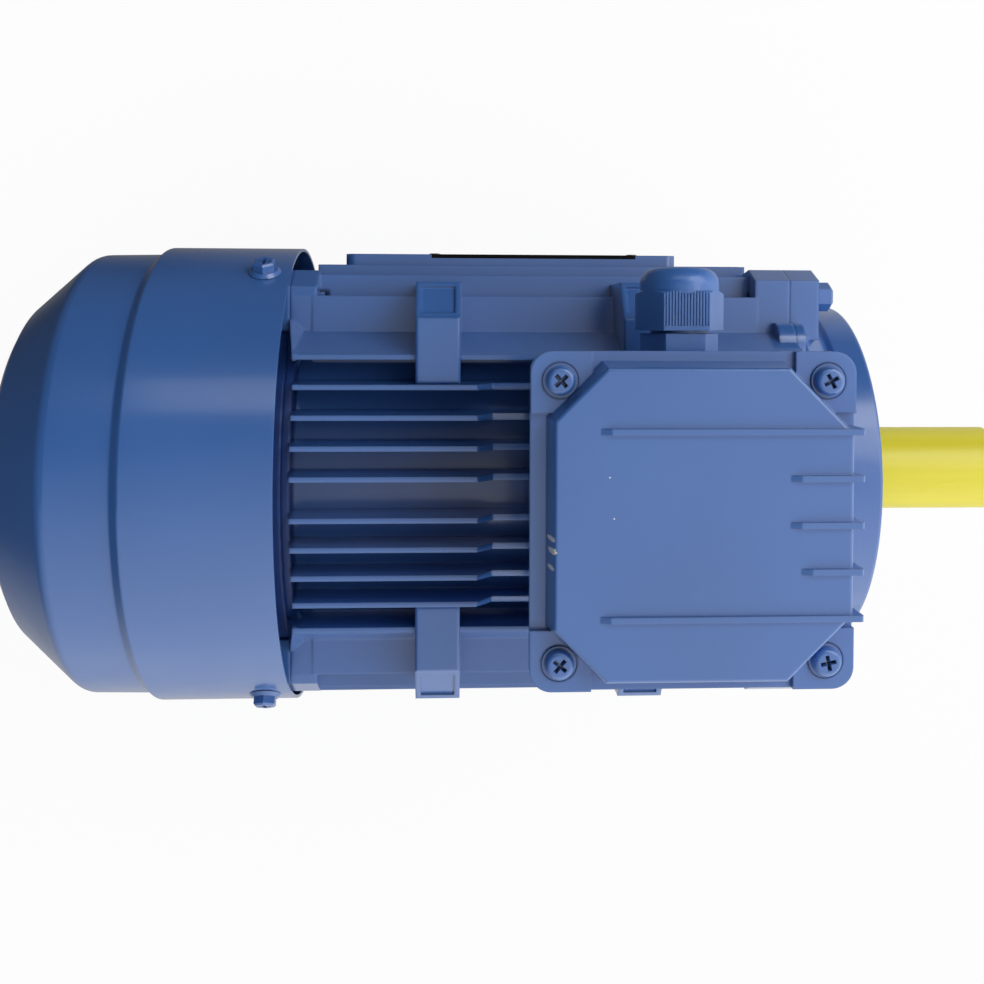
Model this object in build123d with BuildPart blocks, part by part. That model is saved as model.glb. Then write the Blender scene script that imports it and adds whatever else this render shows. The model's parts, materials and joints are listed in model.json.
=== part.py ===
"""Three-phase induction motor with a face flange, in millimetres.

+X runs along the shaft to the drive end, +Z up through the terminal box and
+Y towards the cable gland. The origin is on the shaft's axis, in the plane of
the flange's mounting face.
"""
import os
from math import atan2, cos, degrees, radians, sin, sqrt

from build123d import *

os.makedirs("parts", exist_ok=True)

# Clearances
thread_gap = 0.1
running_gap = 0.05
slip_gap = 0.15

# Drive end of the shaft, a standard 24 mm end with an 8 mm key
shaft_d = 24.0
shaft_len = 50.0
key_width = 8.0
key_height = 7.0
key_len = 40.0
key_seat = 4.0
key_setback = 5.0

# Face flange on the front shield
flange_d = 140.0
flange_thk = 12.0
flange_edge = 1.2
flange_back_edge = 1.5
bolt_circle = 115.0
bolt_tap_d = 6.8
bolt_tap_depth = 13.0
bolt_count = 4
spigot_d = 95.0
spigot_len = 3.0
spigot_bore_d = 60.0
spigot_recess = 6.0

# Housing
shield_len = 31.0
frame_len = 193.0
stator_d = 130.0
frame_wall = 5.0
register_step = 1.0
register_len = 5.0
top_fin_r = 88.0
low_fin_r = 81.0
side_fin_r = 90.3
side_flat_y = 86.2
fin_gap_mid = 14.6
fin_pitch = 10.67
fins_each_side = 5
fin_tip = 1.9
fin_root = 3.2
shield_wall = 8.0
shield_hub_r = 33.0
shield_inset = 4.0
hub_wall = 3.0
shield_ear_len = 11.6
rear_ear_len = 15.5
collar_r = 76.5
collar_len = 5.5
shoulder_r = 77.0
shoulder_len = 6.0
side_fin_rear_gap = 8.5
side_fin_front_gap = 12.5

# Housing corners, as places across (y) and up (z)
ledge_in_y = 59.2
ledge_z = 50.8
web_depth = 2.6
flare_out = 4.5
flare_run = 5.6
ear_reach_r = 91.5
tie_bolt_r = ear_reach_r - 9.0
tie_bolt_angle = 27.03
ear_in_y = 56.3
ear_drop = 6.5
ear_len = 13.6
ear_rear_len = 10.2
ear_to_cowl = 0.8
dowel_y = 54.8
dowel_z = 52.6
dowel_r = 8.2
dowel_frame_len = 6.6
dowel_shield_len = 3.6

# Foot pads on the four corners
pad_top_z = 76.2
pad_in_y = 40.5
pad_fold_y = 64.8
pad_out_y = 77.8
pad_out_z = 65.4
pad_lip = 1.2
pad_round = 1.1
pad_len = 16.4
pad_from_rear = 56.6
pad_from_front = 60.5
pad_border = 2.0
pad_pocket = 0.8

# Terminal box and its seat on the housing
box_from_front = 54.9
box_len = 98.0
box_width = 102.0
box_wall = 3.5
box_floor = 3.5
seat_z = 84.0
box_height = 41.0
seat_len = 84.0
seat_width = 76.0
seat_screw_inset = 8.0
lead_hole_len = 46.0
lead_hole_width = 34.0
seat_corner = 6.0
lead_hole_corner = 5.0
seat_screw_depth = 12.0
fin_step_gap = 12.5
fin_step_run = 5.7
relief_half = 45.0
gasket_thk = 1.5

# Lid
lid_lip = 3.0
lid_corner = 7.0
lid_band = 3.5
lug_rise = 2.2
lug_size = 19.6
crown_rise = 10.0
crown_rear_gap = 5.2
crown_front_gap = 1.4
crown_side_gap = 3.2
crown_clear = 5.2
crown_slope = 1.8
crown_round = 1.2
lid_wall = 3.0
rib_width = 2.0
rib_rise = 1.3
rib_pitch = 14.6
rib_nose = 5.0
long_rib_start = 14.4
short_rib_start = 73.9
low_rib_delay = 3.5
lid_screw_inset = 6.3
lid_screw_hold = 14.0
lug_sink = 0.6

# Cable gland
gland_z = 108.0
gland_thread_r = 10.0
gland_hex = 23.0
gland_hex_len = 7.2
gland_neck_len = 1.0
gland_nut_hex = 26.2
gland_nut_len = 13.2
gland_dome_len = 7.8
gland_dome_r = 13.2
gland_mouth_r = 6.6
cable_r = 5.0
oring_thk = 1.2
gland_bore_r = 7.4
gland_neck_r = 9.6
gland_neck_reach = 12.0
locknut_hex = 25.0
locknut_len = 5.0
gland_nut_bevel = 2.0
knurl_count = 15
knurl_pitch = 1.0
knurl_depth = 0.4
gland_seal_len = 9.0
gland_seal_lip = 0.8
gland_dome_round = 5.5

# Terminal board
board_len = 62.0
board_width = 44.0
board_thk = 5.0
board_lift = 5.0
board_corner = 3.0
board_post = 6.0
board_post_inset = 4.0
board_rib = 1.6
board_rib_rise = 4.0
stud_dx = 20.0
stud_dy = 22.0
stud_r = 2.0
stud_up = 13.0
nut_hex = 7.0
nut_thk = 3.2
link_thk = 1.2
link_width = 9.0
stud_head = 1.5

# Bearings
bearing_bore_r = 12.5
bearing_outer_r = 26.0
bearing_width = 15.0
bearing_pitch_r = 19.25
ball_r = 3.9
ball_count = 9
race_gap = 0.12
race_land = 2.4
cage_width = 10.4
cage_half = 1.1
front_bearing_seat = 1.0
rear_bearing_from_frame = 18.0
seal_len = 7.0
seal_outer_r = 17.5

# Shaft between the bearings
shoulder_shaft_r = 15.0
core_shaft_r = 16.0
tap_r = 3.4
tap_len = 19.0
centre_r = 5.2
centre_len = 3.0

# Electrical core
core_len = 124.0
core_from_front = 97.0
stator_bore_d = 80.0
air_gap = 0.4
slot_count = 24
slot_depth = 15.0
slot_width = 6.0
slot_mouth = 2.6
tooth_tip = 2.0
slot_liner = 0.25
overhang = 26.0
winding_gap = 2.0
coil_to_frame = 2.5
coil_round = 6.0
core_seat_len = 4.0
cage_bars = 22
cage_ring_len = 11.0
cage_vanes = 11
cage_ring_in_r = 25.0
cage_bar_depth = 9.5
cage_bar_width = 4.0
cage_cover = 1.6
vane_len = 9.0
vane_thk = 3.0

# Fan and cowl
fan_to_cowl = 15.3
fan_len = 42.0
fan_from_bearing = 20.0
fan_blades = 7
fan_plate = 2.5
fan_blade_thk = 2.6
fan_hub_r = 17.0
fan_seat_r = 11.0
fan_hub_len = 16.0
fan_eye_r = 26.0
clip_thk = 1.2
clip_r = 14.6
clip_groove_r = 10.3
tail_end = 3.0
cowl_sheet = 1.2
cowl_to_frame = 0.3
cowl_step_at = 53.3
cowl_step = 2.8
cowl_step_run = 3.2
cowl_cone_at = 81.2
cowl_cone_drop = 20.2
cowl_depth = 107.2
cowl_corner = 5.0
cowl_screw_at = 10.0
cowl_screw_angle = 28.9
slot_rings = [(22.0, 12), (40.0, 20), (57.5, 28)]
cowl_nose = 3.0
cowl_lug_gap = 0.2
cowl_screw_reach = 4.6
lug_width = 12.0
lug_inset = 0.5
slot_len = 13.0
slot_gap = 4.2

# Shaft guard
guard_r = 17.6
guard_wall = 1.6
guard_spare = 21.6
guard_nose = 2.0
guard_start_x = 1.0
guard_ribs = 4
guard_rib_width = 2.4

# Nameplate on its pad
plate_len = 88.0
plate_height = 40.0
plate_thk = 1.1
plate_corner = 3.0
plate_from_front = 97.8
plate_pad_len = 135.0
plate_pad_from_front = 106.8
plate_pad_height = 46.0
plate_pad_corner = 4.0
plate_pad_y = 90.4
rivet_inset = 3.5
rivet_r = 1.5
rivet_head_r = 2.4
rivet_head = 0.4
rivet_len = 4.5

# Fasteners
m6_r = 3.0
m6_hex = 10.0
m6_head = 6.0
m6_bevel = 0.9
m6_washer_r = 5.6
washer_thk = 1.1
spring_thk = 1.6
spring_r = 5.0
m6_reach = 14.0
m5_r = 2.5
m5_hex = 8.0
m5_head = 3.4
m5_flange_r = 6.3
m5_flange = 1.4
m5_bevel = 0.7
m5_flange_slope = 40.0
pan_head_r = 4.6
pan_head = 3.2
cross_width = 1.3
cross_len = 5.0
cross_depth = 2.2
cross_slope = 12.0
pan_head_round = 1.6
lid_washer_r = 5.5

# Places that follow from the sizes
frame_front = -shield_len
frame_rear = frame_front - frame_len
bore_r = stator_d / 2
barrel_r = bore_r + frame_wall
register_r = bore_r + register_step
fin_places = [fin_gap_mid / 2 + i * fin_pitch for i in range(fins_each_side)]
outer_fin = fin_places[-1]
outer_fin_tip = sqrt(top_fin_r**2 - outer_fin**2) + 0.4
shaft_r = shaft_d / 2
corners = [(1, 1), (-1, 1), (-1, -1), (1, -1)]
ear_y = tie_bolt_r * cos(radians(tie_bolt_angle))
ear_z = tie_bolt_r * sin(radians(tie_bolt_angle))
ear_low_z = ear_z - ear_drop
ear_places = [(j * ear_y, k * ear_z) for j, k in corners]
pad_places = (frame_rear + pad_from_rear, frame_front - pad_from_front)
plate_x = frame_front - plate_from_front
plate_pad_x = frame_front - plate_pad_from_front
rivet_pattern = (plate_len - 2 * rivet_inset, plate_height - 2 * rivet_inset, 2, 2)
box_x = frame_front - box_from_front
lid_len = box_len + 2 * lid_lip
lid_width = box_width + 2 * lid_lip
lid_screw_dx = box_len - 2 * lid_screw_inset
lid_screw_dy = box_width - 2 * lid_screw_inset
fin_step_x = box_x - lid_len / 2 - fin_step_gap
box_z = seat_z + gasket_thk
box_top = box_z + box_height
floor_z = box_z + box_floor
lid_z = box_top + gasket_thk
band_z = lid_z + lid_band
lug_z = band_z + lug_rise
crown_z = band_z + crown_rise
core_x = frame_front - core_from_front
core_front = core_x + core_len / 2
core_rear = core_x - core_len / 2
rotor_r = stator_bore_d / 2 - air_gap
flange_r = flange_d / 2
box_side_y = box_width / 2
seat_screws = (seat_len - 2 * seat_screw_inset, seat_width - 2 * seat_screw_inset)
front_bearing_x = -spigot_recess - seal_len - front_bearing_seat
rear_bearing_x = frame_rear - rear_bearing_from_frame
cowl_inner_r = ear_reach_r + ear_to_cowl
cowl_r = cowl_inner_r + cowl_sheet
cowl_rim_x = frame_rear - cowl_to_frame
cowl_step_x = cowl_rim_x - cowl_step_at
cowl_cone_x = cowl_rim_x - cowl_cone_at
cowl_back_x = cowl_rim_x - cowl_depth
cowl_back_r = cowl_r - cowl_step - cowl_cone_drop
cowl_screw_x = cowl_rim_x - cowl_screw_at
fan_x = rear_bearing_x - fan_from_bearing
fan_r = cowl_inner_r - fan_to_cowl
guard_end_x = shaft_len + guard_spare
lug_flat_r = sqrt((cowl_inner_r - cowl_lug_gap) ** 2 - (lug_width / 2) ** 2)


def section(x):
    """The plane across the shaft at x, with its own x along Y and y along Z."""
    return Plane.YZ.offset(x)


def mirrored(points, j, k):
    """The outline carried into the corner of the housing named by two signs."""
    return [(j * y, k * z) for y, z in points]


def fin_outline(place, tip, side):
    """A tapered cooling fin that stands upright at y = place and ends at z = tip."""
    foot = sqrt((bore_r + frame_wall / 2) ** 2 - place**2)
    return [
        (place - fin_root / 2, side * foot),
        (place + fin_root / 2, side * foot),
        (place + fin_tip / 2, side * tip),
        (place - fin_tip / 2, side * tip),
    ]


def on_circle(radius, angle):
    """A point across and up, at an angle in degrees above the horizontal."""
    return (radius * cos(radians(angle)), radius * sin(radians(angle)))


front_ear = [
    (ledge_in_y, ear_low_z),
    (ledge_in_y, ledge_z),
    (ear_y + 2 * m6_r, ledge_z),
    (ear_y + 3.5 * m6_r, ear_z + m6_r),
    (ear_y + 3 * m6_r, ear_low_z),
]
shield_ear = [(ear_in_y, ear_low_z), (ear_in_y, ledge_z)] + front_ear[2:]
# The rear ears keep inside the fan cowl
rear_ear = [
    (ledge_in_y, ear_low_z),
    (ledge_in_y, ledge_z),
    (outer_fin_tip, ledge_z),
    on_circle(ear_reach_r, 33.4),
    on_circle(ear_reach_r, 25.0),
    (ear_y + 3 * m6_r, ear_low_z),
]

web_outline = [
    (outer_fin - fin_tip / 2, outer_fin_tip),
    (outer_fin + fin_tip / 2, outer_fin_tip),
    (ledge_in_y, ledge_z),
    (outer_fin_tip, ledge_z),
    (outer_fin_tip, ledge_z - web_depth),
    (outer_fin - fin_tip / 2, outer_fin - fin_tip),
]
pad_root = sqrt(barrel_r**2 - pad_in_y**2)
pad_outline = [
    (pad_in_y, pad_root),
    (pad_in_y, pad_top_z),
    (pad_fold_y, pad_top_z),
    (pad_fold_y, pad_top_z - pad_lip),
    (pad_out_y, pad_out_z),
    (pad_out_y, pad_in_y),
    (pad_root, pad_in_y),
]

# Room round the seat of the terminal box, where the fins are lower
with BuildPart() as fin_relief:
    with BuildSketch(Plane.XZ):
        Polygon(
            (fin_step_x - fin_step_run / 2, top_fin_r),
            (fin_step_x + fin_step_run / 2, low_fin_r),
            (frame_front, low_fin_r),
            (frame_front, top_fin_r + fin_root),
            (fin_step_x - fin_step_run / 2, top_fin_r + fin_root),
            align=None,
        )
    revolve(axis=Axis.X)
    with Locations(((fin_step_x + frame_front) / 2, 0, top_fin_r)):
        Box(frame_len, 2 * relief_half, 2 * top_fin_r, mode=Mode.INTERSECT)

# Foot pads on the four corners, with rounded edges
with BuildPart() as foot_pads:
    for pad_x in pad_places:
        with BuildSketch(section(pad_x - pad_len / 2)):
            for j, k in corners:
                Polygon(*mirrored(pad_outline, j, k), align=None)
        extrude(amount=pad_len)
    pad_faces = foot_pads.faces().filter_by(Axis.Z).filter_by(
        lambda face: abs(face.center().Z) > pad_top_z - 0.1
    )
    fillet([edge for face in pad_faces for edge in face.edges()], pad_round)
    # Shallow pocket in the slanted face of each pad
    slant_y = pad_out_y - pad_fold_y
    slant_z = pad_top_z - pad_lip - pad_out_z
    slant_len = sqrt(slant_y**2 + slant_z**2)
    for pad_x in pad_places:
        for j, k in corners:
            middle = (pad_x, j * (pad_fold_y + slant_y / 2), k * (pad_out_z + slant_z / 2))
            outwards = (0, j * slant_z, k * slant_y)
            with BuildSketch(Plane(origin=middle, x_dir=(1, 0, 0), z_dir=outwards)):
                Rectangle(pad_len - 2 * pad_border, slant_len - 2 * pad_border)
            extrude(amount=-pad_pocket, mode=Mode.SUBTRACT)

with BuildPart() as frame_housing:
    # Barrel, and the webs that close the corners between the outermost fins
    with BuildSketch(section(frame_rear)):
        Circle(barrel_r)
        for j, k in corners:
            Polygon(*mirrored(web_outline, j, k), align=None)
    extrude(amount=frame_len)
    # Upright fins above and below, level fins on both sides
    with BuildSketch(section(frame_rear + collar_len)):
        for place in fin_places:
            for y in (place, -place):
                for side in (1, -1):
                    tip = sqrt(top_fin_r**2 - place**2)
                    Polygon(*fin_outline(y, tip, side), align=None)
    extrude(amount=frame_len - 2 * collar_len)
    with BuildSketch(section(frame_rear + side_fin_rear_gap)):
        for place in fin_places:
            tip = min(sqrt(side_fin_r**2 - place**2), side_flat_y)
            if place == outer_fin:
                tip = outer_fin_tip
            for z in (place, -place):
                for side in (1, -1):
                    level = [(b, a) for a, b in fin_outline(z, tip, side)]
                    Polygon(*level, align=None)
    extrude(amount=frame_len - side_fin_rear_gap - side_fin_front_gap)
    add(fin_relief.part, mode=Mode.SUBTRACT)
    # Low collars that the two shields close against
    for collar_x in (frame_rear, frame_front - collar_len):
        with BuildSketch(section(collar_x)):
            Circle(collar_r)
        extrude(amount=collar_len)
    # Flares where the corner webs meet the rear end
    web_run = Vector(0, ledge_in_y - outer_fin - fin_tip / 2, ledge_z - outer_fin_tip)
    for j, k in corners:
        start = (frame_rear, j * (outer_fin + fin_tip / 2), k * outer_fin_tip)
        along = (0, j * web_run.Y, k * web_run.Z)
        out = -j * k
        with BuildSketch(Plane(origin=start, x_dir=(1, 0, 0), z_dir=along)):
            Polygon(
                (0, -out * web_depth),
                (0, out * flare_out),
                (flare_run, 0),
                (flare_run, -out * web_depth),
                align=None,
            )
        extrude(amount=web_run.length + web_depth / 2)
    # Ears for the tie bolts
    for outline, x_from, length in (
        (rear_ear, frame_rear, ear_rear_len),
        (front_ear, frame_front - ear_len, ear_len),
    ):
        with BuildSketch(section(x_from)):
            for j, k in corners:
                Polygon(*mirrored(outline, j, k), align=None)
        extrude(amount=length)
    with BuildSketch(section(frame_front - dowel_frame_len)):
        for j, k in corners:
            with Locations((j * dowel_y, k * dowel_z)):
                Circle(dowel_r)
    extrude(amount=dowel_frame_len)
    add(foot_pads.part)
    # Pad for the nameplate
    with BuildSketch(Plane.XZ.offset(-plate_pad_y)):
        with Locations((plate_pad_x, 0)):
            RectangleRounded(plate_pad_len, plate_pad_height, plate_pad_corner)
    extrude(amount=plate_pad_y - barrel_r + frame_wall / 2)
    with BuildSketch(Plane.XZ.offset(-plate_pad_y)):
        with Locations((plate_x, 0)):
            with GridLocations(*rivet_pattern):
                Circle(rivet_r + thread_gap)
    extrude(amount=rivet_len, mode=Mode.SUBTRACT)
    # Seat of the terminal box, with the hole for the leads
    with BuildSketch(Plane.XY.offset(bore_r)):
        with Locations((box_x, 0)):
            RectangleRounded(seat_len, seat_width, seat_corner)
    extrude(amount=seat_z - bore_r)
    with BuildSketch(Plane.XY):
        with Locations((box_x, 0)):
            RectangleRounded(lead_hole_len, lead_hole_width, lead_hole_corner)
    extrude(amount=seat_z, mode=Mode.SUBTRACT)
    # Bore for the core, and a wider register at each end
    with BuildSketch(section(frame_rear)):
        Circle(bore_r)
    extrude(amount=frame_len, mode=Mode.SUBTRACT)
    for x_from in (frame_rear, frame_front - register_len):
        with BuildSketch(section(x_from)):
            Circle(register_r)
        extrude(amount=register_len, mode=Mode.SUBTRACT)
    # Threads for the tie bolts and for the box screws
    for x_from, depth in ((frame_rear, m6_reach), (frame_front, -m6_reach)):
        with BuildSketch(section(x_from)):
            with Locations(*ear_places):
                Circle(m6_r + thread_gap)
        extrude(amount=depth, mode=Mode.SUBTRACT)
    with Locations((box_x, 0, seat_z)):
        with GridLocations(*seat_screws, 2, 2):
            Hole(m5_r + thread_gap, depth=seat_screw_depth)
frame_housing.part.label = "frame_housing"
export_step(frame_housing.part, "parts/frame_housing.step")

# Nameplate, left bare, and its rivets
with BuildPart() as nameplate:
    with BuildSketch(Plane.XZ.offset(-plate_pad_y)):
        with Locations((plate_x, 0)):
            RectangleRounded(plate_len, plate_height, plate_corner)
            with GridLocations(*rivet_pattern):
                Circle(rivet_r + thread_gap, mode=Mode.SUBTRACT)
    extrude(amount=-plate_thk)
nameplate.part.label = "nameplate"
export_step(nameplate.part, "parts/nameplate.step")

with BuildPart() as nameplate_rivets:
    with BuildSketch(Plane.XZ.offset(-plate_pad_y - plate_thk)):
        with Locations((plate_x, 0)):
            with GridLocations(*rivet_pattern):
                Circle(rivet_r)
    extrude(amount=rivet_len + plate_thk)
    with BuildSketch(Plane.XZ.offset(-plate_pad_y - plate_thk)):
        with Locations((plate_x, 0)):
            with GridLocations(*rivet_pattern):
                Circle(rivet_head_r)
    extrude(amount=-rivet_head, taper=40)
nameplate_rivets.part.label = "nameplate_rivets"
export_step(nameplate_rivets.part, "parts/nameplate_rivets.step")

# Front shield with the face flange
front_wall_x = front_bearing_x - hub_wall
front_shield_profile = [
    (-spigot_recess, seal_outer_r),
    (-spigot_recess, spigot_bore_d / 2),
    (spigot_len, spigot_bore_d / 2),
    (spigot_len, spigot_d / 2),
    (0, spigot_d / 2),
    (0, flange_r - flange_edge),
    (-flange_edge / 3.4, flange_r - flange_edge / 3.4),
    (-flange_edge, flange_r),
    (-flange_thk, flange_r),
    (-flange_thk - flange_back_edge, flange_r - flange_back_edge),
    (-shield_len + shoulder_len, shoulder_r),
    (-shield_len, shoulder_r),
    (-shield_len, register_r - slip_gap),
    (-shield_len - register_len + 1, register_r - slip_gap),
    (-shield_len - register_len + 1, register_r - register_len),
    (-shield_len + shield_inset, bore_r - shield_wall),
    (front_wall_x, bore_r - 2 * shield_wall),
    (front_wall_x, shield_hub_r),
    (front_bearing_x - bearing_width - 1, shield_hub_r),
    (front_bearing_x - bearing_width - 1, bearing_outer_r),
    (front_bearing_x, bearing_outer_r),
    (front_bearing_x, bearing_bore_r + 2),
    (-spigot_recess - seal_len, bearing_bore_r + 2),
    (-spigot_recess - seal_len, seal_outer_r),
]
with BuildPart() as front_shield:
    with BuildSketch(Plane.XY):
        Polygon(*front_shield_profile, align=None)
    revolve(axis=Axis.X)
    with BuildSketch(section(-shield_len)):
        for j, k in corners:
            Polygon(*mirrored(shield_ear, j, k), align=None)
    extrude(amount=shield_ear_len)
    with BuildSketch(section(-shield_len)):
        for j, k in corners:
            with Locations((j * dowel_y, k * dowel_z)):
                Circle(dowel_r)
    extrude(amount=dowel_shield_len)
    with BuildSketch(section(-shield_len)):
        with Locations(*ear_places):
            Circle(m6_r + 3 * thread_gap)
    extrude(amount=shield_ear_len, mode=Mode.SUBTRACT)
    with BuildSketch(section(0)):
        with PolarLocations(bolt_circle / 2, bolt_count, start_angle=45):
            Circle(bolt_tap_d / 2)
    extrude(amount=-bolt_tap_depth, mode=Mode.SUBTRACT)
front_shield.part.label = "front_shield"
export_step(front_shield.part, "parts/front_shield.step")

# Rear shield, behind the fan side bearing, with the lugs that carry the cowl
rear_hub_x = rear_bearing_x - washer_thk - thread_gap
rear_shield_profile = [
    (frame_rear, shoulder_r),
    (frame_rear - shoulder_len, shoulder_r),
    (frame_rear - shoulder_len - shield_wall, bore_r - shield_wall),
    (frame_rear - shoulder_len - shield_wall, shield_hub_r + hub_wall),
    (rear_hub_x - shield_inset, shield_hub_r),
    (rear_hub_x - shield_inset, bearing_bore_r + 1),
    (rear_hub_x, bearing_bore_r + 1),
    (rear_hub_x, bearing_outer_r),
    (rear_bearing_x + bearing_width + 1, bearing_outer_r),
    (rear_bearing_x + bearing_width + 1, shield_hub_r),
    (frame_rear - shoulder_len + 1, shield_hub_r),
    (frame_rear - shoulder_len + 1, bore_r - shield_wall),
    (frame_rear + register_len - 1, register_r - register_len),
    (frame_rear + register_len - 1, register_r - slip_gap),
    (frame_rear, register_r - slip_gap),
]


def radial_plane(j, k, radius, x):
    """A plane at a cowl screw's angle in one corner, facing outwards."""
    angle = radians(cowl_screw_angle)
    out = (0, j * cos(angle), k * sin(angle))
    return Plane(origin=(x, radius * out[1], radius * out[2]), x_dir=(1, 0, 0), z_dir=out)


with BuildPart() as rear_shield:
    with BuildSketch(Plane.XY):
        Polygon(*rear_shield_profile, align=None)
    revolve(axis=Axis.X)
    with BuildSketch(section(frame_rear)):
        for j, k in corners:
            Polygon(*mirrored(rear_ear, j, k), align=None)
    extrude(amount=-rear_ear_len)
    lug_len = 2 * (frame_rear - cowl_screw_x) - 2 * lug_inset
    for j, k in corners:
        with BuildSketch(radial_plane(j, k, shoulder_r - lug_width, cowl_screw_x)):
            Rectangle(lug_len / 2, lug_width)
        extrude(amount=lug_flat_r - shoulder_r + lug_width)
    with BuildSketch(section(frame_rear)):
        with Locations(*ear_places):
            Circle(m6_r + 3 * thread_gap)
    extrude(amount=-rear_ear_len, mode=Mode.SUBTRACT)
    for j, k in corners:
        with BuildSketch(radial_plane(j, k, cowl_inner_r, cowl_screw_x)):
            Circle(m5_r + thread_gap)
        extrude(amount=-cowl_screw_reach, mode=Mode.SUBTRACT)
rear_shield.part.label = "rear_shield"
export_step(rear_shield.part, "parts/rear_shield.step")

# Tie bolts and their washers, front and rear
bolt_seats = [
    ("front", -shield_len + shield_ear_len, 1, shield_ear_len),
    ("rear", frame_rear - rear_ear_len, -1, rear_ear_len),
]
for end, seat_x, outward, grip in bolt_seats:
    head_x = seat_x + outward * (washer_thk + spring_thk)
    with BuildPart() as tie_bolts:
        with BuildSketch(section(head_x)):
            with Locations(*ear_places):
                RegularPolygon(m6_hex / 2, 6, major_radius=False)
        extrude(amount=outward * m6_head)
        chamfer(tie_bolts.edges().group_by(Axis.X)[-1 if outward > 0 else 0], m6_bevel)
        with BuildSketch(section(head_x)):
            with Locations(*ear_places):
                Circle(m6_r)
        extrude(amount=-outward * (washer_thk + spring_thk + grip + m6_reach - 2))
    tie_bolts.part.label = f"{end}_tie_bolts"
    export_step(tie_bolts.part, f"parts/{end}_tie_bolts.step")

    with BuildPart() as tie_washers:
        with BuildSketch(section(seat_x)):
            with Locations(*ear_places):
                Circle(m6_washer_r)
                Circle(m6_r + 2 * thread_gap, mode=Mode.SUBTRACT)
        extrude(amount=outward * washer_thk)
        with BuildSketch(section(seat_x + outward * washer_thk)):
            with Locations(*ear_places):
                Circle(spring_r)
                Circle(m6_r + 2 * thread_gap, mode=Mode.SUBTRACT)
        extrude(amount=outward * spring_thk)
    tie_washers.part.label = f"{end}_tie_washers"
    export_step(tie_washers.part, f"parts/{end}_tie_washers.step")

# Ball bearings, the same at both ends
groove_r = ball_r + race_gap
for end, bearing_x in (("front", front_bearing_x), ("rear", rear_bearing_x + bearing_width)):
    mid_x = bearing_x - bearing_width / 2
    with BuildPart() as outer_ring:
        with BuildSketch(Plane.XY):
            with Locations((mid_x, (bearing_outer_r + bearing_pitch_r + race_land) / 2)):
                Rectangle(bearing_width, bearing_outer_r - bearing_pitch_r - race_land)
            with Locations((mid_x, bearing_pitch_r)):
                Circle(groove_r, mode=Mode.SUBTRACT)
        revolve(axis=Axis.X)
    outer_ring.part.label = f"{end}_bearing_outer_ring"
    export_step(outer_ring.part, f"parts/{end}_bearing_outer_ring.step")

    with BuildPart() as inner_ring:
        with BuildSketch(Plane.XY):
            with Locations((mid_x, (bearing_bore_r + bearing_pitch_r - race_land) / 2)):
                Rectangle(bearing_width, bearing_pitch_r - race_land - bearing_bore_r)
            with Locations((mid_x, bearing_pitch_r)):
                Circle(groove_r, mode=Mode.SUBTRACT)
        revolve(axis=Axis.X)
    inner_ring.part.label = f"{end}_bearing_inner_ring"
    export_step(inner_ring.part, f"parts/{end}_bearing_inner_ring.step")

    with BuildPart() as balls:
        with Locations(section(mid_x)):
            with PolarLocations(bearing_pitch_r, ball_count):
                Sphere(ball_r)
    balls.part.label = f"{end}_bearing_balls"
    export_step(balls.part, f"parts/{end}_bearing_balls.step")

    with BuildPart() as ball_cage:
        with BuildSketch(section(mid_x - cage_width / 2)):
            Circle(bearing_pitch_r + cage_half)
            Circle(bearing_pitch_r - cage_half, mode=Mode.SUBTRACT)
        extrude(amount=cage_width)
        with Locations(section(mid_x)):
            with PolarLocations(bearing_pitch_r, ball_count):
                Cylinder(ball_r + running_gap, 4 * cage_half, rotation=(0, 90, 0),
                         mode=Mode.SUBTRACT)
    ball_cage.part.label = f"{end}_bearing_cage"
    export_step(ball_cage.part, f"parts/{end}_bearing_cage.step")

# Preload washer behind the rear bearing, and the seal at the front
with BuildPart() as preload_washer:
    with BuildSketch(section(rear_bearing_x)):
        Circle(bearing_outer_r - slip_gap)
        Circle(bearing_pitch_r + race_land, mode=Mode.SUBTRACT)
    extrude(amount=-washer_thk)
preload_washer.part.label = "preload_washer"
export_step(preload_washer.part, "parts/preload_washer.step")

seal_back_x = -spigot_recess - seal_len
with BuildPart() as shaft_seal:
    with BuildSketch(Plane.XY):
        Polygon(
            (seal_back_x, bearing_bore_r + 2.6),
            (seal_back_x, seal_outer_r),
            (-spigot_recess, seal_outer_r),
            (-spigot_recess, bearing_bore_r + 1.2),
            (-spigot_recess - 2, bearing_bore_r + running_gap),
            (-spigot_recess - 4, bearing_bore_r + running_gap),
            (-spigot_recess - 5, bearing_bore_r + 1.4),
            (-spigot_recess - 2, bearing_bore_r + 2.6),
            align=None,
        )
    revolve(axis=Axis.X)
shaft_seal.part.label = "shaft_seal"
export_step(shaft_seal.part, "parts/shaft_seal.step")

# Stator core and its windings
with BuildPart() as stator_core:
    with BuildSketch(section(core_rear)):
        Circle(bore_r)
        Circle(stator_bore_d / 2, mode=Mode.SUBTRACT)
        slot_mid_r = stator_bore_d / 2 + tooth_tip + slot_depth / 2
        with PolarLocations(slot_mid_r, slot_count):
            Rectangle(slot_depth, slot_width, mode=Mode.SUBTRACT)
        with PolarLocations(stator_bore_d / 2 + tooth_tip / 2, slot_count):
            Rectangle(2 * tooth_tip, slot_mouth, mode=Mode.SUBTRACT)
    extrude(amount=core_len)
stator_core.part.label = "stator_core"
export_step(stator_core.part, "parts/stator_core.step")

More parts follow.
